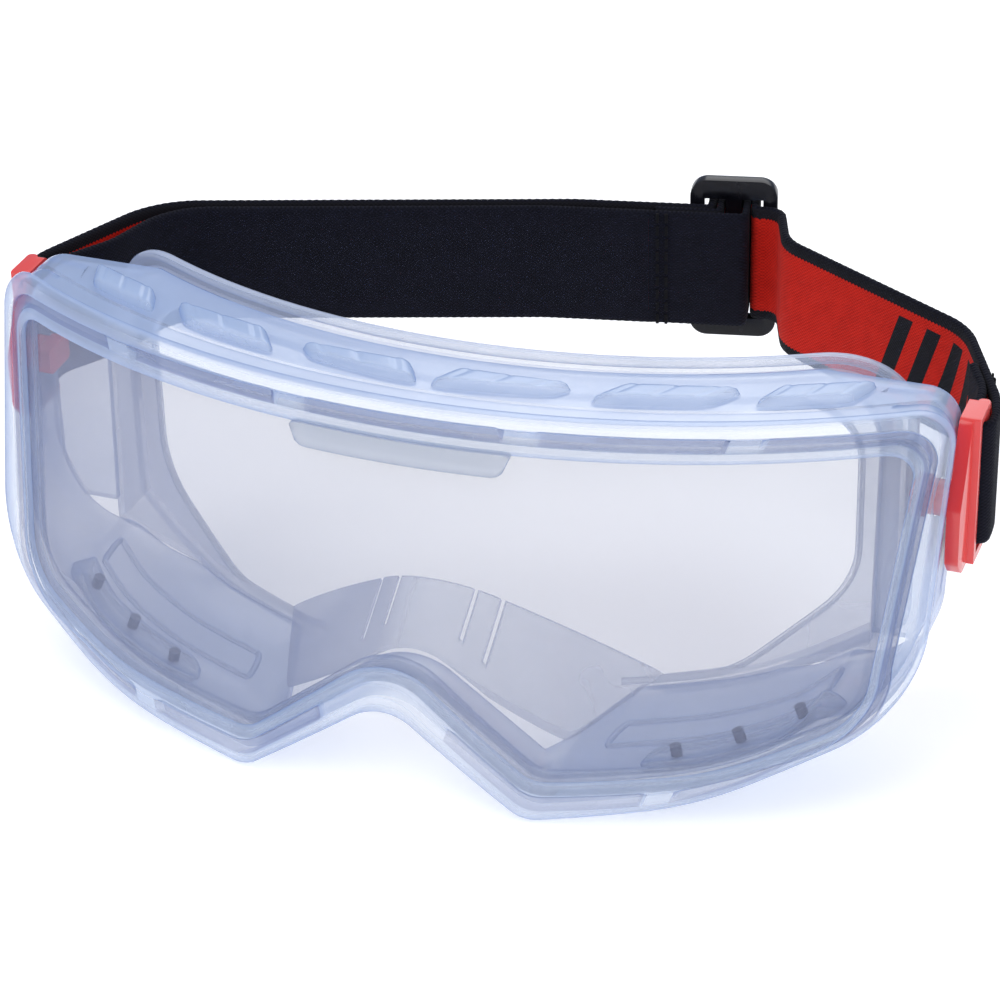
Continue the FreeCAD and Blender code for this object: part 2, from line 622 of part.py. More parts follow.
def slider():
    half_u = SLIDER_MID / 2 + SLIDER_SLOT + SLIDER_BAR
    half_z = STRAP_W / 2 + 0.5 + SLIDER_END
    corners = [(half_u, half_z), (half_u, -half_z), (-half_u, -half_z), (-half_u, half_z)]
    wire = Part.Wire(turned([V(u, -SLIDER_T / 2, z) for u, z in corners], [3.0] * 4, closed=True))
    plate = Part.Face(wire).extrude(V(0, SLIDER_T, 0))
    for side in (-1, 1):
        middle = side * (SLIDER_MID + SLIDER_SLOT) / 2
        plate = plate.cut(block(middle - SLIDER_SLOT / 2, middle + SLIDER_SLOT / 2, -5, 5,
                                SLIDER_END - half_z, half_z - SLIDER_END))
    x, y = local(0, 0)
    plate.Placement = FreeCAD.Placement(V(x, y, STRAP_Z), FreeCAD.Rotation(V(0, 0, 1), SLIDER_ANGLE))
    return plate


# ---- everything -----------------------------------------------------------
def sub_parts():
    parts = {"frame_body": frame_body(), "lens": lens(), "face_seal": face_seal()}
    right = strap_clip()
    cover = low_vent_cover()
    for side, name in ((1, "right"), (-1, "left")):
        def placed(shape):
            return shape if side > 0 else shape.mirror(V(0, 0, 0), V(1, 0, 0))
        parts["strap_clip_" + name] = placed(right)
        parts["lower_vent_cover_" + name] = placed(cover).cut(vent_pins(PIN_R + NECK_FIT, side))
        parts["lower_vent_pins_" + name] = vent_pins(PIN_R, side)
        for span, place in zip(ROOF_VENT_SPANS, ("inner", "middle", "outer")):
            parts["roof_vent_cover_%s_%s" % (place, name)] = placed(roof_vent(span, LENS_FIT))
    for name, route in strap_routes().items():
        parts[name] = webbing(route)
    parts["slider"] = slider()
    a = math.radians(SLIDER_ANGLE)
    x, y = local(STITCH_ROW - TAIL_END, INNER_V - STRAP_T / 2)
    along = V(math.cos(a), math.sin(a), 0)
    parts["tail_stitching"] = stitches(V(x, y, 0), along, V(along.y, -along.x, 0))
    turn, way, out = right_run()
    parts["clip_stitching"] = stitches(turn + way * SEAM_Y + out * (STRAP_T / 2), way, out)
    for name in parts:
        if name.startswith(("strap", "slider", "tail", "clip")):
            parts[name].rotate(V(0, PIVOT_Y, PIVOT_Z), V(1, 0, 0), STRAP_TILT)
    return parts


for node, shape in sub_parts().items():
    shape.exportStep("parts/" + node + ".step")
    print(node, "solids", len(shape.Solids), "volume", round(shape.Volume, 1), "valid", shape.isValid())
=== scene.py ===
import json
import math
import bmesh
import bpy
from mathutils import Matrix, Vector


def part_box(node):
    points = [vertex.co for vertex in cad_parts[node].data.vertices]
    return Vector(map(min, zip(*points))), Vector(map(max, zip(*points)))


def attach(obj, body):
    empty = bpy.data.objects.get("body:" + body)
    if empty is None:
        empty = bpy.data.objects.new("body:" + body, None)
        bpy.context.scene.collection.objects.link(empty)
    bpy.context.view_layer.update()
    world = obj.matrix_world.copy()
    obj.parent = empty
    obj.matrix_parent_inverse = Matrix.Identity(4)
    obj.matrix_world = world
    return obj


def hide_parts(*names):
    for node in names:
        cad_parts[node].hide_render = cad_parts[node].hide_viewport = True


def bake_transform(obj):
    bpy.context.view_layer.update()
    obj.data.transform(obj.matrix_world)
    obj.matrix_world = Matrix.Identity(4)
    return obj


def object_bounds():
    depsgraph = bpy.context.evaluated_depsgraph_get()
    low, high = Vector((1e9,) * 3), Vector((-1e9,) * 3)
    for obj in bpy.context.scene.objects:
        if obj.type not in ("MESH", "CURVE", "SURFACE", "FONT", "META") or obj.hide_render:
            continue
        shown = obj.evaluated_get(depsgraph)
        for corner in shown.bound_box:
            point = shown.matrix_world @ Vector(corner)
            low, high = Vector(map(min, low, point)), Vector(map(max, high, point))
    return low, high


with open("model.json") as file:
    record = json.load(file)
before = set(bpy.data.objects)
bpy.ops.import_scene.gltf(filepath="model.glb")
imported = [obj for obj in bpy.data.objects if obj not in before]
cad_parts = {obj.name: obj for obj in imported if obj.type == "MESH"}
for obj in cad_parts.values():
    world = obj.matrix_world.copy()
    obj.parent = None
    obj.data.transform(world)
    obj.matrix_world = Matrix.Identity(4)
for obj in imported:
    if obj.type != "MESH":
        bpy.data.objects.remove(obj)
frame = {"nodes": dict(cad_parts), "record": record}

CAD_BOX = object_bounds()

# ---- camera ----------------------------------------------------------------
TARGET = Vector((0.00176, 0.0, -0.0073))
PLACE = Vector((0.17039, -0.45466, 0.25212))
ROLL = math.radians(-0.33)

camera = bpy.data.objects.new("view_camera", bpy.data.cameras.new("view_camera"))
bpy.context.scene.collection.objects.link(camera)
camera.location = PLACE
turn = (TARGET - PLACE).to_track_quat("-Z", "Y").to_matrix().to_4x4()
camera.rotation_euler = turn.to_euler()
camera.rotation_euler.rotate_axis("Z", ROLL)
camera.data.lens = 122.2
camera.data.sensor_width = 36.0
bpy.context.scene.camera = camera
bpy.context.scene.view_settings.view_transform = "Standard"

# ---- sizes that follow part.py, in metres ----------------------------------
MM = 0.001
STRAP_W = 21.6
STRAP_T = 1.4
STRAP_Z = 11.0
PIVOT = Vector((0.0, -8.9, 11.0))
STRAP_TILT = math.radians(3.0)


# ---- node helpers ----------------------------------------------------------
class Nodes:
    """A short way to wire a material's nodes."""

    def __init__(self, name):
        self.material = bpy.data.materials.new(name)
        self.material.use_nodes = True
        self.tree = self.material.node_tree
        self.shader = self.tree.nodes["Principled BSDF"]

    def add(self, kind, values=None, **settings):
        node = self.tree.nodes.new(kind)
        for key, value in settings.items():
            setattr(node, key, value)
        for key, value in (values or {}).items():
            if isinstance(value, bpy.types.NodeSocket):
                self.tree.links.new(value, node.inputs[key])
            else:
                node.inputs[key].default_value = value
        return node

    def math(self, operation, a, b=0.0, clamp=False):
        return self.add("ShaderNodeMath", {0: a, 1: b}, operation=operation, use_clamp=clamp).outputs[0]

    def mix(self, factor, a, b):
        node = self.add("ShaderNodeMix", {"Factor": factor}, data_type="RGBA")
        for index, value in ((6, a), (7, b)):
            if isinstance(value, bpy.types.NodeSocket):
                self.tree.links.new(value, node.inputs[index])
            else:
                node.inputs[index].default_value = value
        return node.outputs[2]

    def ramp(self, value, stops):
        node = self.add("ShaderNodeValToRGB", {"Fac": value})
        ramp = node.color_ramp
        while len(ramp.elements) < len(stops):
            ramp.elements.new(0.5)
        for element, (position, colour) in zip(ramp.elements, stops):
            element.position = position
            element.color = colour if len(colour) == 4 else tuple(colour) + (1.0,)
        return node.outputs["Color"]

    def noise(self, scale, detail=3.0, coordinates=None):
        where = coordinates or self.add("ShaderNodeTexCoord").outputs["Object"]
        values = {"Vector": where, "Scale": scale, "Detail": detail}
        return self.add("ShaderNodeTexNoise", values).outputs["Fac"]

    def bump(self, height, strength, distance):
        return self.add("ShaderNodeBump", {"Height": height, "Strength": strength,
                                           "Distance": distance}).outputs["Normal"]

    def set(self, **values):
        for key, value in values.items():
            socket = self.shader.inputs[key.replace("_", " ")]
            if isinstance(value, bpy.types.NodeSocket):
                self.tree.links.new(value, socket)
            else:
                socket.default_value = value
        return self.material


# ---- materials -------------------------------------------------------------
def clear_plastic(name, body, edge, low, high, rough, haze=0.15, bump=0.006):
    """Moulded clear plastic: nearly clear where it's seen square on, milky at grazing edges."""
    n = Nodes(name)
    facing = n.add("ShaderNodeLayerWeight", {"Blend": 0.42}).outputs["Facing"]
    cloud = n.noise(60.0, 2.0)
    grain = n.noise(900.0, 2.0)
    rim = n.math("POWER", facing, 1.15)
    density = n.math("ADD", n.math("MULTIPLY", rim, high - low), low)
    streaks = n.math("MULTIPLY", n.math("SUBTRACT", cloud, 0.5), haze)
    density = n.math("ADD", density, streaks, clamp=True)
    colour = n.mix(rim, body, edge)
    roughness = n.math("ADD", n.math("MULTIPLY", cloud, 0.12), rough)
    n.set(Base_Color=colour, Alpha=density, Roughness=roughness, IOR=1.55,
          Normal=n.bump(grain, bump, 0.0002))
    n.set(Specular_IOR_Level=0.65)
    return n.material


def webbing(name, face, inner=False):
    n = Nodes(name)
    uv = n.add("ShaderNodeTexCoord").outputs["UV"]
    split = n.add("ShaderNodeSeparateXYZ", {"Vector": uv})
    along, up = split.outputs[0], split.outputs[1]
    # UV is in centimetres: ribs run across the strap, and the knit steps along it
    ribs = n.math("SINE", n.math("MULTIPLY", along, 2 * math.pi / 0.075))
    knit = n.math("SINE", n.math("MULTIPLY", up, 2 * math.pi / 0.06))
    weave = n.math("ADD", n.math("MULTIPLY", n.math("MULTIPLY", ribs, knit), 0.35), 0.5)
    fuzz = n.noise(400.0, 3.0)
    height = n.math("ADD", weave, n.math("MULTIPLY", fuzz, 0.6))
    dark, light = face
    # the colour follows the weave's bump height, so the hollows between the yarns are darker: painted
    # shade, mixed with random fibre fuzz
    shade = n.ramp(height, [(0.25, dark), (0.95, light)])
    if inner:
        from_edge = n.math("SUBTRACT", STRAP_W / 20.0, n.math("ABSOLUTE", up))
        wobble = n.math("MULTIPLY", ribs, 0.012)
        border = n.math("LESS_THAN", n.math("ADD", from_edge, wobble), 0.20)
        shade = n.mix(border, shade, (0.010, 0.010, 0.014, 1.0))
        start, pitch, bars = PATTERN
        slanted = n.math("SUBTRACT", n.math("ADD", along, n.math("MULTIPLY", up, 0.35)), start)
        inside = n.math("MULTIPLY", n.math("GREATER_THAN", slanted, 0.0),
                        n.math("LESS_THAN", slanted, pitch * bars))
        bar = n.math("LESS_THAN", n.math("FRACT", n.math("DIVIDE", slanted, pitch)), 0.5)
        tall = n.math("LESS_THAN", n.math("ABSOLUTE", up), 0.72)
        mark = n.math("MULTIPLY", n.math("MULTIPLY", inside, bar), tall)
        shade = n.mix(mark, shade, (0.012, 0.012, 0.016, 1.0))
    n.set(Base_Color=shade, Roughness=0.85, Sheen_Weight=0.02, Sheen_Roughness=0.5,
          Normal=n.bump(height, 0.5, 0.0003))
    n.set(Specular_IOR_Level=0.12)
    return n.material


PATTERN = (4.7, 0.62, 4)

FRAME_CLEAR = clear_plastic("frame_clear", (0.72, 0.83, 1.0, 1), (0.15, 0.28, 0.64, 1), 0.17, 0.98, 0.10)
# the frame's plastic made darker and denser: painted shade for the recessed channel's floor
FRAME_GROOVE_PAINTED_SHADE = clear_plastic("frame_groove_painted_shade", (0.38, 0.43, 0.62, 1), (0.14, 0.22, 0.48, 1), 0.34, 0.98,
                             0.10)
# denser plastic for the thicker finger tab, and greyed as painted shade beneath the rim
FRAME_TAB_THICK_SHADED = clear_plastic("frame_tab_thick_shaded", (0.56, 0.61, 0.70, 1), (0.22, 0.30, 0.52, 1), 0.40, 0.98,
                            0.12)
LENS_CLEAR = clear_plastic("lens_clear", (0.32, 0.34, 0.46, 1), (0.22, 0.27, 0.46, 1), 0.22, 0.64, 0.03,
                           haze=0.01, bump=0.0)
SEAL_CLEAR = clear_plastic("seal_clear", (0.84, 0.90, 1.0, 1), (0.28, 0.36, 0.62, 1), 0.20, 0.90, 0.10,
                           bump=0.004)
VENT_INSERT = clear_plastic("vent_insert", (0.72, 0.83, 0.98, 1), (0.17, 0.32, 0.68, 1), 0.20, 0.98,
                            0.10)
CLIP_RED = clear_plastic("clip_red", (0.80, 0.035, 0.035, 1), (0.85, 0.10, 0.09, 1), 0.97, 1.0, 0.16,
                         haze=0.02)
# each webbing's colour pair runs from the painted shade in the weave's hollows to the yarn tops
WEB_BLACK = webbing("strap_web", ((0.0012, 0.0012, 0.0030), (0.0075, 0.0080, 0.0160)))
WEB_RED = webbing("strap_web_red", ((0.34, 0.006, 0.004), (0.66, 0.020, 0.010)), inner=True)


def hard_black(name, rough, dark=(0.003, 0.003, 0.005), light=(0.010, 0.010, 0.014)):
    n = Nodes(name)
    cloud = n.noise(300.0, 3.0)
    n.set(Base_Color=n.ramp(cloud, [(0.3, dark), (0.8, light)]),
          Roughness=n.math("ADD", n.math("MULTIPLY", cloud, 0.12), rough),
          Normal=n.bump(cloud, 0.05, 0.0002))
    n.set(Specular_IOR_Level=0.3)
    return n.material


SLIDER_BLACK = hard_black("slider_black", 0.16)
DARK_TRIM = hard_black("dark_trim", 0.40, (0.10, 0.13, 0.20), (0.18, 0.22, 0.32))
THREAD = hard_black("thread", 0.85, (0.001, 0.001, 0.002), (0.004, 0.004, 0.007))

LOOKS = {"frame_clear": FRAME_CLEAR, "lens_clear": LENS_CLEAR, "seal_clear": SEAL_CLEAR,
         "vent_insert": VENT_INSERT, "clip_red": CLIP_RED, "strap_web": WEB_BLACK,
         "slider_black": SLIDER_BLACK, "dark_trim": DARK_TRIM, "thread": THREAD}
for entry in frame["record"]["subparts"]:
    for material_slot in frame["nodes"][entry["node"]].material_slots:
        material_slot.material = LOOKS[entry["material_slot"]]


# ---- mesh helpers ----------------------------------------------------------
def mesh_object(name, verts, faces, materials, uvs=None, face_materials=None, smooth=True):
    mesh = bpy.data.meshes.new(name)
    mesh.from_pydata([tuple(c * MM for c in v) for v in verts], [], faces)
    for material in materials:
        mesh.materials.append(material)
    if uvs:
        layer = mesh.uv_layers.new(name="UVMap")
        for polygon in mesh.polygons:
            for loop, uv in zip(polygon.loop_indices, uvs[polygon.index]):
                layer.data[loop].uv = uv
    for polygon in mesh.polygons:
        polygon.use_smooth = smooth
        if face_materials:
            polygon.material_index = face_materials[polygon.index]
    work = bmesh.new()
    work.from_mesh(mesh)
    bmesh.ops.recalc_face_normals(work, faces=work.faces)
    work.to_mesh(mesh)
    work.free()
    mesh.validate()
    mesh.update()
    obj = bpy.data.objects.new(name, mesh)
    bpy.context.scene.collection.objects.link(obj)
    return obj


def rounded_path(route, step):
    """Points along a plan route of (x, y, bend radius), with the left normal at each."""
    points = [Vector((x, y)) for x, y, r in route]
    out = []

    def straight(a, b):
        way = b - a
        if way.length < 1e-6:
            return
        count = max(1, int(way.length / step))
        left = Vector((-way.y, way.x)).normalized()
        for i in range(count + 1):
            out.append((a + way * (i / count), left))

    last = points[0]
    for i in range(1, len(points) - 1):
        p, r = points[i], route[i][2]
        a = (points[i - 1] - p).normalized()
        b = (points[i + 1] - p).normalized()
        half = a.angle(b) / 2
        reach = r / math.tan(half)
        first, end = p + a * reach, p + b * reach
        straight(last, first)
        centre = p + (a + b).normalized() * (r / math.sin(half))
        turn_left = (-a).cross(b) > 0
        start = math.atan2(first.y - centre.y, first.x - centre.x)
        sweep = (math.pi - 2 * half) * (1 if turn_left else -1)
        count = max(4, int(abs(sweep) * r / step))
        for k in range(1, count):
            angle = start + sweep * k / count
            out_way = Vector((math.cos(angle), math.sin(angle)))
            out.append((centre + out_way * r, -out_way if turn_left else out_way))
        last = end
    straight(last, points[-1])
    return out


# ---- strap -----------------------------------------------------------------
SLIDER_ANGLE = math.radians(12.0)
ELBOW = (-3.0, 50.6)
ELBOW_TO_SLIDER = 27.1
SLIDER_T = 2.2
SLIDER_MID = 2.8
SLIDER_SLOT = 3.6
MIDDLE = STRAP_T / 2 + 0.3 + SLIDER_T / 2
LAYER = STRAP_T + 0.1
RUN_V = -MIDDLE
INNER_V = RUN_V - 2 * LAYER
TAIL_U = SLIDER_MID / 2 + 0.1 + STRAP_T / 2
TAIL_V = SLIDER_T / 2 + 0.2 + STRAP_T / 2
WEAVE_U = TAIL_U + LAYER
WEAVE_V = TAIL_V + LAYER + 0.05
WEAVE_END = SLIDER_MID / 2 + SLIDER_SLOT + 0.2
RUN_END = WEAVE_END + 12.0 + 6.8
TAIL_END = 14.0
BAR_X = 79.9
LOOP = 1.7
LOOP_Y = -3.2
LOOP_R = 1.6
BEND_Y = 3.5
RIGHT_BEND = (35.5, 47.0)
RIGHT_SHOULDER = (71.1, 26.3)
RIGHT_CUT = (45.468, 41.204)


def by_slider(*places):
    c, s = math.cos(SLIDER_ANGLE), math.sin(SLIDER_ANGLE)
    return [(ELBOW[0] + (ELBOW_TO_SLIDER + u) * c - (MIDDLE + v) * s,
             ELBOW[1] + (ELBOW_TO_SLIDER + u) * s + (MIDDLE + v) * c, r) for u, v, r in places]


SEWN_LENGTH = 13.0


def sewn_end():
    way = (Vector(RIGHT_SHOULDER) - Vector((BAR_X + LOOP, BEND_Y))).normalized()
    first = Vector((BAR_X + LOOP, BEND_Y)) - Vector((way.y, -way.x)) * (STRAP_T + 0.05)
    end = first + way * SEWN_LENGTH
    bend = first + way * ((BAR_X - LOOP - first.x) / way.x)
    return [(end.x, end.y, 0), (bend.x, bend.y, 14.0)]


INNER_END = by_slider((-RUN_END - 2, INNER_V, 0))
ROUTES = {
    "strap_right_run": sewn_end() + [
        (BAR_X - LOOP, LOOP_Y, LOOP_R), (BAR_X + LOOP, LOOP_Y, LOOP_R), (BAR_X + LOOP, BEND_Y, 20.0),
        RIGHT_SHOULDER + (14.0,), RIGHT_CUT + (0,)],
    "strap_right_slack": by_slider((WEAVE_END, RUN_V, 0), (8.2, RUN_V, 3.0)) + [
        RIGHT_BEND + (8.0,), RIGHT_CUT + (0,)],
    "strap_weave": by_slider(
        (WEAVE_END, RUN_V, 0), (WEAVE_U, RUN_V, 0.9), (WEAVE_U, WEAVE_V, 0.9),
        (-WEAVE_U, WEAVE_V, 0.9), (-WEAVE_U, RUN_V, 0.9), (-WEAVE_END, RUN_V, 0)),
    "strap_left_slack": by_slider((-WEAVE_END, RUN_V, 0), (-RUN_END, RUN_V, 0)),
    "strap_left_run": by_slider((-RUN_END, RUN_V, 0)) + [
        ELBOW + (30.0,), (9.0 - BAR_X, 28.6, 16.0), (-BAR_X - LOOP, BEND_Y, 20.0),
        (-BAR_X - LOOP, LOOP_Y, LOOP_R), (-BAR_X + LOOP, LOOP_Y, LOOP_R), (-BAR_X + LOOP, 3.0, 6.0),
        (8.2 - BAR_X, 13.0, 14.0), (12.2 - BAR_X, 27.0, 13.0)]
    + by_slider((-RUN_END - 8, INNER_V, 30.0)) + INNER_END,
    "strap_inner_slack": INNER_END + by_slider((-TAIL_END, INNER_V, 0)),
    "strap_tail": by_slider(
        (-TAIL_END, INNER_V, 0), (TAIL_U, INNER_V, 0.9), (TAIL_U, TAIL_V, 0.9),
        (-TAIL_U, TAIL_V, 0.9), (-TAIL_U, RUN_V - LAYER, 0.9), (1 - TAIL_END, RUN_V - LAYER, 0))}
ON_SLIDER = ("strap_weave", "strap_tail")
FLIPPED = ("strap_right_slack",)
FREE_ENDS = (("strap_right_run", False), ("strap_tail", True))
SLACK = {"strap_right_slack": (RIGHT_CUT, by_slider((WEAVE_END, RUN_V, 0))[0]),
         "strap_left_slack": (by_slider((-RUN_END, RUN_V, 0))[0], by_slider((-WEAVE_END, RUN_V, 0))[0]),
         "strap_inner_slack": (INNER_END[0], by_slider((-TAIL_END, INNER_V, 0))[0])}


SHRINK = 0.99             # the edges stand a little inside the solid's, to leave room for the scallops
SCALLOP = 0.04
SCALLOP_PITCH = 1.3
TAIL_THINNER = 0.2        # the sewn tail passes close to the outer run when the slider moves
PATH_STEP = 0.35


def tilted(x, y, z):
    """A place on the strap, after it is tilted about the studs."""
    return PIVOT + Matrix.Rotation(STRAP_TILT, 3, "X") @ (Vector((x, y, z)) - PIVOT)


def joint_place(point):
    """The middle of the strap at a plan point, in metres."""
    return tuple(tilted(point[0], point[1], STRAP_Z) * MM)


def band(node):
    """The webbing of one node: rounded, scalloped edges, black on one side and red on the other."""
    path = rounded_path(ROUTES[node], PATH_STEP)
    half = STRAP_W / 2
    t = (STRAP_T - (TAIL_THINNER if node == "strap_tail" else 0.0)) / 2
    rows = [(t, -half + 0.9), (t, -half / 2), (t, 0), (t, half / 2), (t, half - 0.9),
            (t * 0.8, half - 0.25), (0, half), (-t * 0.8, half - 0.25), (-t, half - 0.9),
            (-t, half / 2), (-t, 0), (-t, -half / 2), (-t, -half + 0.9),
            (-t * 0.8, -half + 0.25), (0, -half), (t * 0.8, -half + 0.25)]
    count = len(rows)
    verts, lengths, total = [], [], 0.0
    for i, (p, left) in enumerate(path):
        if i:
            total += (p - path[i - 1][0]).length
        lengths.append(total)
        scallop = SCALLOP * math.sin(total * 2 * math.pi / SCALLOP_PITCH)
        for s, z in rows:
            rise = scallop * (1 if abs(z) > half - 0.5 else 0) * (1 if z > 0 else -1)
            verts.append(tilted(p.x + left.x * s, p.y + left.y * s, STRAP_Z + z * SHRINK + rise))
    faces, uvs, sides = [], [], []
    for i in range(len(path) - 1):
        for k in range(count):
            m = (k + 1) % count
            faces.append((i * count + k, (i + 1) * count + k, (i + 1) * count + m, i * count + m))
            s = rows[k][0] + rows[m][0]
            uv = []
            for row, column in ((i, k), (i + 1, k), (i + 1, m), (i, m)):
                uv.append((lengths[row] / 10, rows[column][1] / 10))
            uvs.append(uv)
            left_red = node not in FLIPPED
            red = (s >= t * 1.5) if left_red else (s <= -t * 1.5)
            sides.append(1 if red else 0)
    free_ends = [e for e in (0, len(path) - 1) if (node, e > 0) in FREE_ENDS]
    for end in free_ends:
        ring = [end * count + k for k in range(count)]
        faces.append(tuple(ring if end == 0 else reversed(ring)))
        uvs.append([(0, 0)] * count)
        sides.append(0)
    obj = mesh_object(node + "_web", verts, faces, [WEB_BLACK, WEB_RED], uvs, sides)
    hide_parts(node)
    if node in SLACK:
        first, last = SLACK[node]
        joint_place(first)
        joint_place(last)
        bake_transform(obj)
    else:
        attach(obj, "slider" if node in ON_SLIDER else "strap")
    return obj


for web_node in ROUTES:
    band(web_node)

# ---- the frame -------------------------------------------------------------
OPENING_HALF = 73.8
OPENING_TOP = 22.0
OPENING_LOW = -29.0
RIM_HALF = 78.6
RIM_TOP = 28.0
RIM_LOW = -34.6
NOSE_HALF = 23.0
LENS_CURVE = 133.0
RAKE = 0.19
FRONT_Y = -44.21
FACE_CURVE = 110.0
BROW_Y = -13.5
WING_REAR = -3.0


def front_y(x, z):
    return FRONT_Y + LENS_CURVE - math.sqrt(LENS_CURVE ** 2 - x ** 2) + RAKE * z


def face_y(x, z):
    return BROW_Y + FACE_CURVE - math.sqrt(FACE_CURVE ** 2 - min(abs(x), 105.0) ** 2) - 0.05 * z


def mirrored(half):
    right = [p for p in half if p[0] > 0]
    return right + [p for p in half if p[0] == 0] + [(-x, z, r) for x, z, r in reversed(right)]


OPENING = mirrored([(OPENING_HALF, OPENING_TOP, 4.0), (69.6, OPENING_LOW + 9.5, 9.0),
                    (50.0, OPENING_LOW + 2.4, 60.0), (NOSE_HALF + 0.5, OPENING_LOW, 6.0),
                    (0, OPENING_LOW + 18.1, 11.5)])
RIM = mirrored([(RIM_HALF, RIM_TOP, 6.0), (77.0, RIM_LOW + 15.6, 18.0), (48.0, RIM_LOW + 3.6, 60.0),
                (NOSE_HALF, RIM_LOW, 6.0), (0, RIM_LOW + 15.9, 8.3)])


def outline(corners, runs, arcs=14):
    """Points round a closed outline: the same count on each arc and on each run of two outlines."""
    points = [Vector((x, z)) for x, z, r in corners]
    n = len(points)
    bends = []
    for i, p in enumerate(points):
        a = (points[i - 1] - p).normalized()
        b = (points[(i + 1) % n] - p).normalized()
        half, r = a.angle(b) / 2, corners[i][2]
        centre = p + (a + b).normalized() * (r / math.sin(half))
        bends.append((p + a * (r / math.tan(half)), p + b * (r / math.tan(half)), centre))
    out = []
    for i, (first, last, centre) in enumerate(bends):
        u, v = first - centre, last - centre
        for k in range(arcs):
            whole = u.angle(v)
            angle = whole * (k / arcs)
            way = (u * math.sin(whole - angle) + v * math.sin(angle)) / math.sin(whole)
            out.append(centre + way)
        after = bends[(i + 1) % n][0]
        for k in range(runs[i]):
            out.append(last.lerp(after, k / runs[i]))
    return out


def run_counts(corners, step):
    n = len(corners)
    return [max(4, int(math.hypot(corners[i][0] - corners[(i + 1) % n][0],
                                  corners[i][1] - corners[(i + 1) % n][1]) / step)) for i in range(n)]


RUNS = run_counts(OPENING, 0.9)
INSIDE = outline(OPENING, RUNS)
OUTSIDE = outline(RIM, RUNS)
BRIDGES = ((17.9, True), (49.5, True), (43.8, False))   # across the channel: x, and whether it is above
CHANNEL = 1.6
CHANNEL_FLOOR = (9, 14)   # these sides of the section are the channel's floor, which takes the painted shade
BRIDGE_DEPTH = 0.35       # a bridge lies this far below the rim's face
BEAD_PROUD = 1.4          # the bead stands out from the wall
WALL_INSIDE = 3.4         # from the outside of the bead to the inside of the wall
RIM_DEPTH = 6.2
WALL_START = 3.3
WALL_LEAST = 5.0
GROOVE_DEPTHS = (0.6, 3.2, 4.6, 5.0, 5.5, 6.2)
GROOVE_AT = 3
GROOVE_SINK = 0.45
GROOVE_END = 6.8
REAR_EDGE = ((0.0, 0.8), (0.15, 0.3), (0.6, 0.02), (1.4, 0.02), (1.85, 0.3), (2.0, 0.8))
REAR_LIP = ((0.8, 6.2), (0.2, 6.1), (0.0, 5.8), (0.0, 4.4), (0.15, 4.15))
STUD_HOLE_X = 77.0
STUD_HOLE_R = 3.0
STUD_HOLE_DEPTH = 6.0


def channel_depth(p):
    """Depth of the channel in the rim's face, which bridges interrupt."""
    upper = p.y > 0
    depth = CHANNEL
    for x, top in BRIDGES:
        if top == upper:
            gap = abs(abs(p.x) - x) - 2.1
            depth = min(depth, BRIDGE_DEPTH + max(0.0, min(1.0, gap / 0.9)) * (CHANNEL - BRIDGE_DEPTH))
    if not upper and abs(p.x) < 12.5:
        past = max(0.0, min(1.0, (abs(p.x) - 10.5) / 1.5))
        depth = min(depth, BRIDGE_DEPTH + past * (CHANNEL - BRIDGE_DEPTH))
    return depth


def wall_rear(x, z):
    rear = min(face_y(x, z) - 3.0, WING_REAR)
    if z < 5:
        rear = min(rear, max(-34.0, -38.5 + (abs(x) - 20.0) * 3.0))
    return rear


def rim_section(w, c):
    """(distance out from the opening, depth behind the front), from the lens's groove."""
    far = min(4.05, w - 1.1)
    mid = (1.95 + far) / 2
    return [
        (2.4, 4.15), (2.4, 2.05), (0.1, 2.05), (0.0, 1.7), (0.02, 1.0), (0.25, 0.45), (0.7, 0.22),
        (1.3, 0.20), (1.7, 0.32), (1.95, min(c, 0.7)), (2.05, c * 0.8), (2.25, c),
        (mid, c + 0.04 * (c > 1)), (far - 0.3, c), (far - 0.1, c * 0.8), (far, min(c, 0.65)),
        (far + 0.12, 0.3), (far + 0.3, 0.08), (far + 0.5, 0.0), (w - 0.4, 0.12), (w - 0.15, 0.45),
        (w - 0.03, 1.0), (w, 1.7), (w - 0.05, 2.4), (w - 0.3, 2.95),
        (w - 0.8, 3.2), (w - 1.3, 3.25)]


def outer_wall(at, a):
    """The wall's outside with its shallow groove, then its rounded rear edge."""
    p = at(a)
    base = front_y(p.x, p.y) + WALL_START
    rear = max(wall_rear(p.x, p.y), base + WALL_LEAST)
    length = rear - base
    ring = []
    for k, d in enumerate(GROOVE_DEPTHS):
        q = at(a - (GROOVE_SINK if k == GROOVE_AT else 0.0))
        ring.append((q.x, base + min(d, length * (0.1 + 0.12 * k)), q.y))
    for share in (0.45, 0.65, 0.85):
        past = length * share > GROOVE_END
        ring.append((p.x, base + length * (share if past else 0.75 + 0.05 * share), p.y))
    for inset, back in REAR_EDGE:
        q = at(a - inset)
        ring.append((q.x, rear - back, q.y))
    return ring


def inner_wall(at, a):
    p, q = at(a), at(a - 0.3)
    base = front_y(p.x, p.y) + RIM_DEPTH
    rear = max(wall_rear(p.x, p.y), base + WALL_LEAST)
    return [(p.x, base + (rear - base) * 0.5, p.y), (p.x, base + 0.5, p.y), (q.x, base, q.y)]


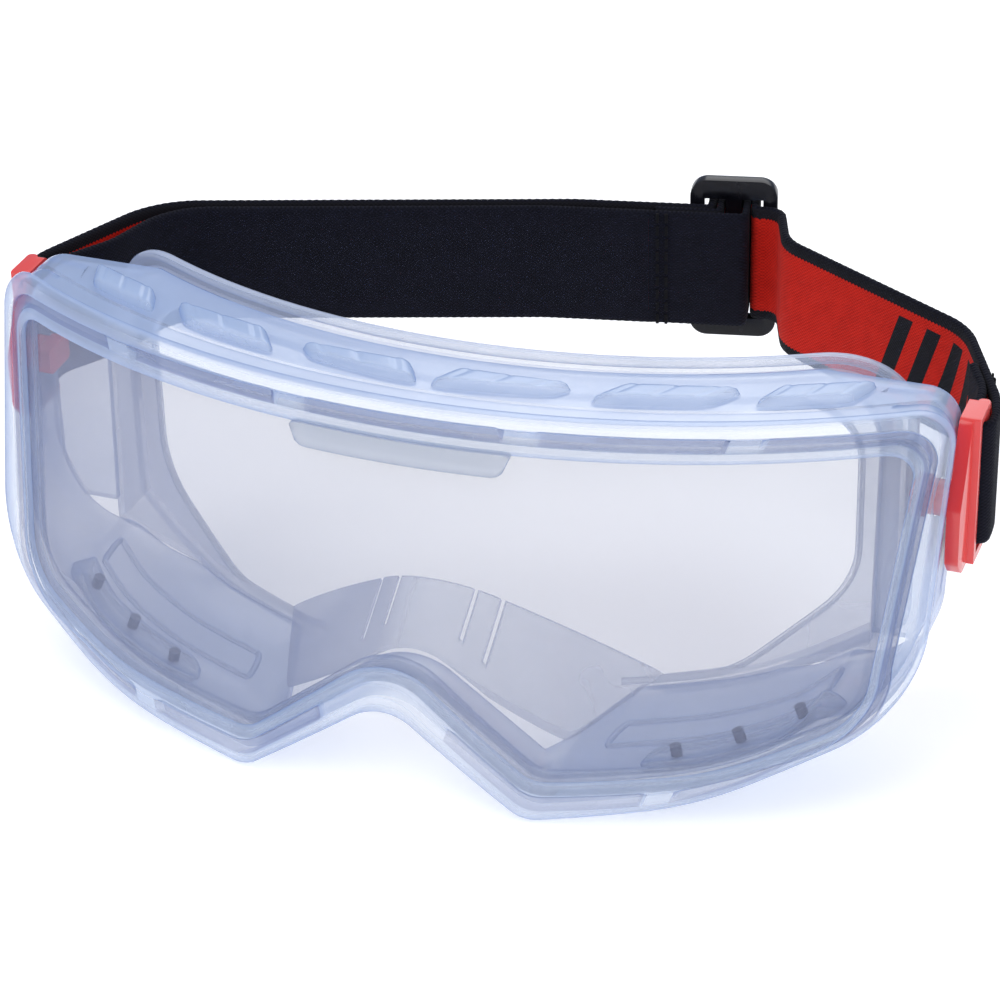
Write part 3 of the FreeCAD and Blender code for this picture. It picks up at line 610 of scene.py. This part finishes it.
def frame_ring():
    """The frame's section swept round its outline. The channel's floor takes a darker, denser copy of
    the plastic: painted shade in the recess.
    """
    verts, faces, looks = [], [], []
    for inner, outer in zip(INSIDE, OUTSIDE):
        w = (outer - inner).length
        way = (outer - inner) / w

        def at(a):
            return inner + way * a

        def on_front(places):
            spots = [(at(a), d) for a, d in places]
            return [(p.x, front_y(p.x, p.y) + d, p.y) for p, d in spots]
        ring = on_front(rim_section(w, channel_depth(inner))) + outer_wall(at, w - BEAD_PROUD)
        ring += inner_wall(at, w - WALL_INSIDE) + on_front(REAR_LIP)
        verts += ring
        count = len(ring)
    n = len(INSIDE)
    for i in range(n):
        j = (i + 1) % n
        # the deep channel's floor faces get the painted-shade copy of the plastic
        deep = channel_depth(INSIDE[i]) > 1.0
        for k in range(count):
            m = (k + 1) % count
            faces.append((i * count + k, i * count + m, j * count + m, j * count + k))
            looks.append(1 if deep and CHANNEL_FLOOR[0] <= k <= CHANNEL_FLOOR[1] else 0)
    return mesh_object("frame_moulding", verts, faces, [FRAME_CLEAR, FRAME_GROOVE_PAINTED_SHADE], face_materials=looks)


def stud_cutter():
    """A short rod through each side wall, where the clips' studs pass."""
    work = bmesh.new()
    for side in (-1, 1):
        place = Matrix.Translation(Vector((side * STUD_HOLE_X, PIVOT.y, PIVOT.z)) * MM)
        turned = place @ Matrix.Rotation(math.pi / 2, 4, "Y")
        bmesh.ops.create_cone(work, cap_ends=True, segments=40, radius1=STUD_HOLE_R * MM,
                              radius2=STUD_HOLE_R * MM, depth=STUD_HOLE_DEPTH * MM, matrix=turned)
    mesh = bpy.data.meshes.new("cutter")
    work.to_mesh(mesh)
    work.free()
    return bpy.data.objects.new("cutter", mesh)


def cut_with(obj, tool):
    """Cut a throwaway solid out of a piece, and bake the result into its mesh."""
    bpy.context.scene.collection.objects.link(tool)
    modifier = obj.modifiers.new("cut", "BOOLEAN")
    modifier.operation = "DIFFERENCE"
    modifier.solver = "FAST"
    modifier.object = tool
    bpy.context.view_layer.update()
    graph = bpy.context.evaluated_depsgraph_get()
    mesh = bpy.data.meshes.new_from_object(obj.evaluated_get(graph))
    obj.modifiers.clear()
    obj.data = mesh
    bpy.data.objects.remove(tool)


def on_frame(obj, slot, *nodes):
    if nodes:
        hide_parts(*nodes)
    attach(obj, "frame")


frame_moulding = frame_ring()
cut_with(frame_moulding, stud_cutter())
frame_moulding.data.set_sharp_from_angle(angle=math.radians(38))
on_frame(frame_moulding, "frame_clear", "frame_body")


def sweep(rings, closed=False, caps=True):
    """Faces through a list of rings of points, all with the same count."""
    count, verts, faces = len(rings[0]), [p for ring in rings for p in ring], []
    for i in range(len(rings) if closed else len(rings) - 1):
        j = (i + 1) % len(rings)
        for k in range(count):
            m = (k + 1) % count
            faces.append((i * count + k, i * count + m, j * count + m, j * count + k))
    if caps and not closed:
        faces.append(tuple(reversed(range(count))))
        faces.append(tuple(range(len(verts) - count, len(verts))))
    return verts, faces


def ledge(side):
    """The ledge from the side wall in to the seal."""
    rings = []
    for i in range(49):
        z = -17.0 + 42.6 * i / 48
        top_z = 14.5
        outer = 76.0 if z < 20 else 76.0 - 4.6 * ((z - 20) / 5.6) ** 2
        outer -= max(0.0, -z - 4.0) ** 2 * 0.028
        inner = 65.4
        if z > top_z:
            inner = 53.4 + math.sqrt(max(0.0, 12.0 ** 2 - (z - top_z) ** 2))
        corners = ((outer, -4.5), (outer, -3.1), (inner, -3.1), (inner, -4.5))
        rings.append([(side * x, y, z) for x, y in corners])
    obj = mesh_object("ledge_" + ("right" if side > 0 else "left"), *sweep(rings), [FRAME_CLEAR])
    obj.data.set_sharp_from_angle(angle=math.radians(30))
    on_frame(obj, "frame_clear")


for side in (-1, 1):
    ledge(side)


TAB_Z = 22.0


def finger_tab():
    section = ((0.4, 0.5), (0.3, 0.05), (-1.4, -0.25), (-2.7, -0.2), (-3.25, 0.1), (-3.3, 0.6),
               (-2.9, 1.0), (-1.2, 1.3), (0.3, 1.5))
    rings = []
    for i in range(41):
        x = -17.5 + 35.0 * i / 40
        past = max(0.0, (abs(x) - 15.0) / 2.5)
        size = max(0.08, math.sqrt(max(0.0, 1.0 - past ** 2)))
        places = [(TAB_Z + dz * size, depth) for dz, depth in section]
        rings.append([(x, front_y(x, z) + depth, z) for z, depth in places])
    # the tab takes the denser plastic, greyed with painted shade
    obj = mesh_object("finger_tab", *sweep(rings), [FRAME_TAB_THICK_SHADED])
    obj.data.set_sharp_from_angle(angle=math.radians(50))
    on_frame(obj, "frame_clear")


finger_tab()


# ---- vent covers -----------------------------------------------------------
ROOF_Z = 26.6


def roof_cover(node, lean, taper):
    """A raised cover with a crowned top, a rolled edge and three shallow louvres."""
    low, high = (Vector(c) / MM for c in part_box(node))
    sign = 1 if (low.x + high.x) > 0 else -1
    along, across = 33, 17
    verts, faces = [], []
    for i in range(along):
        for j in range(across):
            s, t = 2 * i / (along - 1) - 1, 2 * j / (across - 1) - 1
            stretch = (1 - abs(s) ** 5 * 0.10) * (1 - taper * (1 + s * sign) / 2)
            x = (low.x + high.x) / 2 + s * (high.x - low.x) / 2 * (1 - 0.10 * abs(t) ** 5)
            x += lean * t * sign
            y = front_y(x, ROOF_Z) + 13.0 + t * 3.0 * stretch
            edge = max(abs(s) ** 6, abs(t) ** 4)
            rise = 1.7 * (1 - edge ** 1.4) ** 0.6 if edge < 1 else 0.0
            groove = 0.22 * max(0.0, math.cos(s * 3 * math.pi)) ** 6 * max(0.0, 1 - abs(t) ** 3)
            verts.append((x, y, ROOF_Z - 0.1 + rise - groove))
    for i in range(along):
        for j in range(across):
            x, y, z = verts[i * across + j]
            verts.append((x, y, ROOF_Z - 0.5))
    shift = along * across
    for i in range(along - 1):
        for j in range(across - 1):
            a = i * across + j
            quad = (a, a + across, a + across + 1, a + 1)
            faces.append(quad)
            faces.append(tuple(shift + q for q in reversed(quad)))
    loop = [i * across for i in range(along)] + [(along - 1) * across + j for j in range(1, across)]
    loop += [i * across + across - 1 for i in reversed(range(along - 1))]
    loop += reversed(range(1, across - 1))
    for k, a in enumerate(loop):
        b = loop[(k + 1) % len(loop)]
        faces.append((b, a, a + shift, b + shift))
    obj = mesh_object(node.replace("roof_vent_cover", "roof_cover"), verts, faces, [VENT_INSERT])
    on_frame(obj, "vent_insert", node)


for place, lean, taper in (("inner", 1.4, 0.45), ("middle", 1.8, 0.15), ("outer", 1.2, 0.0)):
    for side in ("left", "right"):
        roof_cover("roof_vent_cover_%s_%s" % (place, side), lean, taper)


# ---- lower vent strips ------------------------------------------------------
STRIP_SECTION = ((0.0, -0.3), (0.0, 0.9), (0.25, 1.4), (0.8, 1.65), (1.35, 1.4), (1.7, 1.0), (3.4, 0.85),
                 (5.1, 1.0), (5.45, 1.4), (6.0, 1.65), (6.55, 1.4), (6.8, 0.9), (6.8, -0.3))


def lower_strip(name, node, sign):
    """A long dished strip with a rolled rim and rounded ends, on the inside of the lower wall."""
    low, high = sorted(abs(c[0]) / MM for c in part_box(node))
    spots = []
    for inner, outer in zip(INSIDE, OUTSIDE):
        if low < inner.x < high + 3.0 and inner.y < -8.0:
            w = (outer - inner).length
            way = (outer - inner) / w
            spots.append((inner + way * (w - 3.4), way))
    spots = [spot for spot in spots if low < spot[0].x < high]
    spots.sort(key=lambda spot: spot[0].x)
    span = spots[-1][0].x - spots[0][0].x
    rings = []
    for p, way in spots:
        share = (p.x - spots[0][0].x) / span
        near = min(share, 1 - share) * span / 3.2
        size = 1.0 if near >= 1 else max(0.10, math.sqrt(1 - (1 - near) ** 2))
        ring = []
        for depth, rise in STRIP_SECTION:
            q = p - way * (rise * (size if rise > 0 else 1.0))
            ring.append((sign * q.x, front_y(p.x, p.y) + 10.3 + (depth - 3.4) * size, q.y))
        rings.append(ring)
    obj = mesh_object(name, *sweep(rings), [VENT_INSERT])
    obj.data.set_sharp_from_angle(angle=math.radians(60))
    on_frame(obj, "vent_insert", node)


lower_strip("lower_strip_right", "lower_vent_cover_right", 1)
lower_strip("lower_strip_left", "lower_vent_cover_left", -1)


# ---- raised lines on the seal ----------------------------------------------
def bead_line(name, points, radius, material, slot, closed=False):
    """A round bead along a smooth line of points in millimetres."""
    curve = bpy.data.curves.new(name, "CURVE")
    curve.dimensions = "3D"
    curve.bevel_depth = radius * MM
    curve.bevel_resolution = 3
    spline = curve.splines.new("NURBS")
    spline.points.add(len(points) - 1)
    for point, place in zip(spline.points, points):
        point.co = tuple(c * MM for c in place) + (1.0,)
    spline.use_cyclic_u = closed
    spline.order_u = 3
    spline.use_endpoint_u = not closed
    obj = bpy.data.objects.new(name, curve)
    bpy.context.scene.collection.objects.link(obj)
    graph = bpy.context.evaluated_depsgraph_get()
    bpy.context.view_layer.update()
    mesh = bpy.data.meshes.new_from_object(obj.evaluated_get(graph))
    bpy.data.objects.remove(obj)
    mesh.materials.clear()
    mesh.materials.append(material)
    for polygon in mesh.polygons:
        polygon.use_smooth = True
    obj = bpy.data.objects.new(name, mesh)
    bpy.context.scene.collection.objects.link(obj)
    on_frame(obj, slot)
    return obj


def cheek_rib(sign):
    """A long raised loop on the inside of the lower wall, behind the vent strip."""
    front, rear = [], []
    for inner, outer in zip(INSIDE, OUTSIDE):
        if not (30.0 < inner.x < 63.0 and inner.y < -8.0):
            continue
        w = (outer - inner).length
        p = inner + (outer - inner) * ((w - 3.5) / w)
        start = front_y(p.x, p.y)
        front.append((sign * p.x, start + 16.0, p.y))
        rear.append((sign * p.x, min(start + 23.0, wall_rear(p.x, p.y) - 1.2), p.y))
    front.sort(key=lambda p: abs(p[0]))
    rear.sort(key=lambda p: -abs(p[0]))
    points = front[::3] + rear[::3]
    name = "cheek_rib_" + ("right" if sign > 0 else "left")
    bead_line(name, points, 0.5, FRAME_CLEAR, "frame_clear", closed=True)


for side in (-1, 1):
    cheek_rib(side)


def face_outline(corners, lift):
    runs = run_counts(corners, 2.0)
    return [(p.x, face_y(p.x, p.y) + lift, p.y) for p in outline(corners, runs, arcs=8)]


LIP_HALF = 67.3
LIP_TOP = 27.2
LIP = mirrored([(LIP_HALF, LIP_TOP, 13.0), (LIP_HALF, -6.0, 3.0)])
lip_points = face_outline(LIP, -0.7)
upper = [p for p in lip_points if p[2] > -5.0 and not (p[2] < 0 and abs(p[0]) < LIP_HALF - 1)]
upper.sort(key=lambda p: math.atan2(p[0], p[2] + 60.0))
bead_line("seal_rolled_edge", upper, 0.85, SEAL_CLEAR, "seal_clear")
FACE_EDGE = mirrored([(60.5, 20.5, 12.0), (60.5, -14.0, 14.0), (43.0, -29.0, 14.0), (24.0, -31.5, 5.0)])
edge_points = [p for p in face_outline(FACE_EDGE, -0.65) if not (abs(p[0]) < 25.5 and p[2] < 0)]
start = max(range(len(edge_points)), key=lambda i: math.dist(edge_points[i], edge_points[i - 1]))
edge_points = edge_points[start:] + edge_points[:start]
bead_line("seal_inner_edge", edge_points, 0.6, SEAL_CLEAR, "seal_clear")


# ---- softened hard parts ---------------------------------------------------
def softened(node, width, material, body):
    """A hard CAD part again, with its edges rounded."""
    work = bmesh.new()
    work.from_mesh(frame["nodes"][node].data)
    bmesh.ops.remove_doubles(work, verts=work.verts, dist=1e-6)
    bmesh.ops.dissolve_limit(work, angle_limit=math.radians(1.0), verts=work.verts, edges=work.edges)
    shared = [e for e in work.edges if len(e.link_faces) == 2]
    sharp = [e for e in shared if e.calc_face_angle(0.0) > math.radians(35)]
    bmesh.ops.bevel(work, geom=sharp, offset=width * MM, segments=3, profile=0.5, affect="EDGES",
                    clamp_overlap=True)
    mesh = bpy.data.meshes.new(node + "_soft")
    work.to_mesh(mesh)
    work.free()
    mesh.materials.clear()
    mesh.materials.append(material)
    for polygon in mesh.polygons:
        polygon.use_smooth = True
        polygon.material_index = 0
    mesh.set_sharp_from_angle(angle=math.radians(35))
    obj = bpy.data.objects.new(node + "_soft", mesh)
    bpy.context.scene.collection.objects.link(obj)
    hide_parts(node)
    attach(obj, body)


softened("slider", 0.3, SLIDER_BLACK, "slider")
for side in ("left", "right"):
    softened("strap_clip_" + side, 0.3, CLIP_RED, "strap")

# ---- stage -----------------------------------------------------------------
FLOOR_Z = CAD_BOX[0][2] - 0.0004


def floor():
    n = Nodes("floor_pale")
    cloud = n.noise(3.0, 2.0)
    stops = [(0.2, (0.95, 0.95, 0.96)), (0.8, (0.98, 0.98, 0.98))]
    n.set(Base_Color=n.ramp(cloud, stops), Roughness=0.7)
    n.set(Emission_Color=(1.0, 1.0, 1.0, 1.0), Emission_Strength=0.30)
    size = 3.0
    mesh = bpy.data.meshes.new("floor")
    mesh.from_pydata([(-size, -size, FLOOR_Z), (size, -size, FLOOR_Z), (size, size, FLOOR_Z),
                      (-size, size, FLOOR_Z)], [], [(0, 1, 2, 3)])
    mesh.materials.append(n.material)
    obj = bpy.data.objects.new("floor", mesh)
    bpy.context.scene.collection.objects.link(obj)


def area_light(name, place, size, power, colour=(1, 1, 1)):
    lamp = bpy.data.lights.new(name, "AREA")
    lamp.size = size
    lamp.energy = power
    lamp.color = colour
    obj = bpy.data.objects.new(name, lamp)
    obj.location = place
    obj.rotation_euler = (Vector((0, 0, 0)) - Vector(place)).to_track_quat("-Z", "Y").to_euler()
    bpy.context.scene.collection.objects.link(obj)


floor()
SKY = ((0.0, (0.26, 0.33, 0.52, 1.0)), (1.0, (1.0, 1.0, 1.0, 1.0)), (0.35, (0.50, 0.56, 0.72, 1.0)))
world = bpy.data.worlds.new("studio")
world.use_nodes = True
world.node_tree.nodes["Background"].inputs["Color"].default_value = (0.95, 0.97, 1.0, 1.0)
world.node_tree.nodes["Background"].inputs["Strength"].default_value = 0.6
sky = world.node_tree
ramp = sky.nodes.new("ShaderNodeValToRGB")
height = sky.nodes.new("ShaderNodeSeparateXYZ")
where = sky.nodes.new("ShaderNodeTexCoord")
sky.links.new(where.outputs["Generated"], height.inputs[0])
sky.links.new(height.outputs[2], ramp.inputs["Fac"])
sky.links.new(ramp.outputs["Color"], sky.nodes["Background"].inputs["Color"])
for element, (position, colour) in zip((ramp.color_ramp.elements[0], ramp.color_ramp.elements[1],
                                        ramp.color_ramp.elements.new(0.3)), SKY):
    element.position = position
    element.color = colour
# the eye sees a pale backdrop, while the gradient lights the plastic
backdrop = sky.nodes.new("ShaderNodeBackground")
backdrop.inputs["Color"].default_value = (0.90, 0.91, 0.94, 1.0)
backdrop.inputs["Strength"].default_value = 1.0
seen = sky.nodes.new("ShaderNodeMixShader")
sky.links.new(sky.nodes.new("ShaderNodeLightPath").outputs["Is Camera Ray"], seen.inputs["Fac"])
sky.links.new(sky.nodes["Background"].outputs[0], seen.inputs[1])
sky.links.new(backdrop.outputs[0], seen.inputs[2])
sky.links.new(seen.outputs[0], sky.nodes["World Output"].inputs["Surface"])
bpy.context.scene.world = world
area_light("key", (-0.35, -0.45, 0.75), 0.8, 3.6)
area_light("fill", (0.7, -0.5, 0.5), 0.6, 2.2)
area_light("back", (0.0, 0.7, 0.6), 0.7, 2.6)
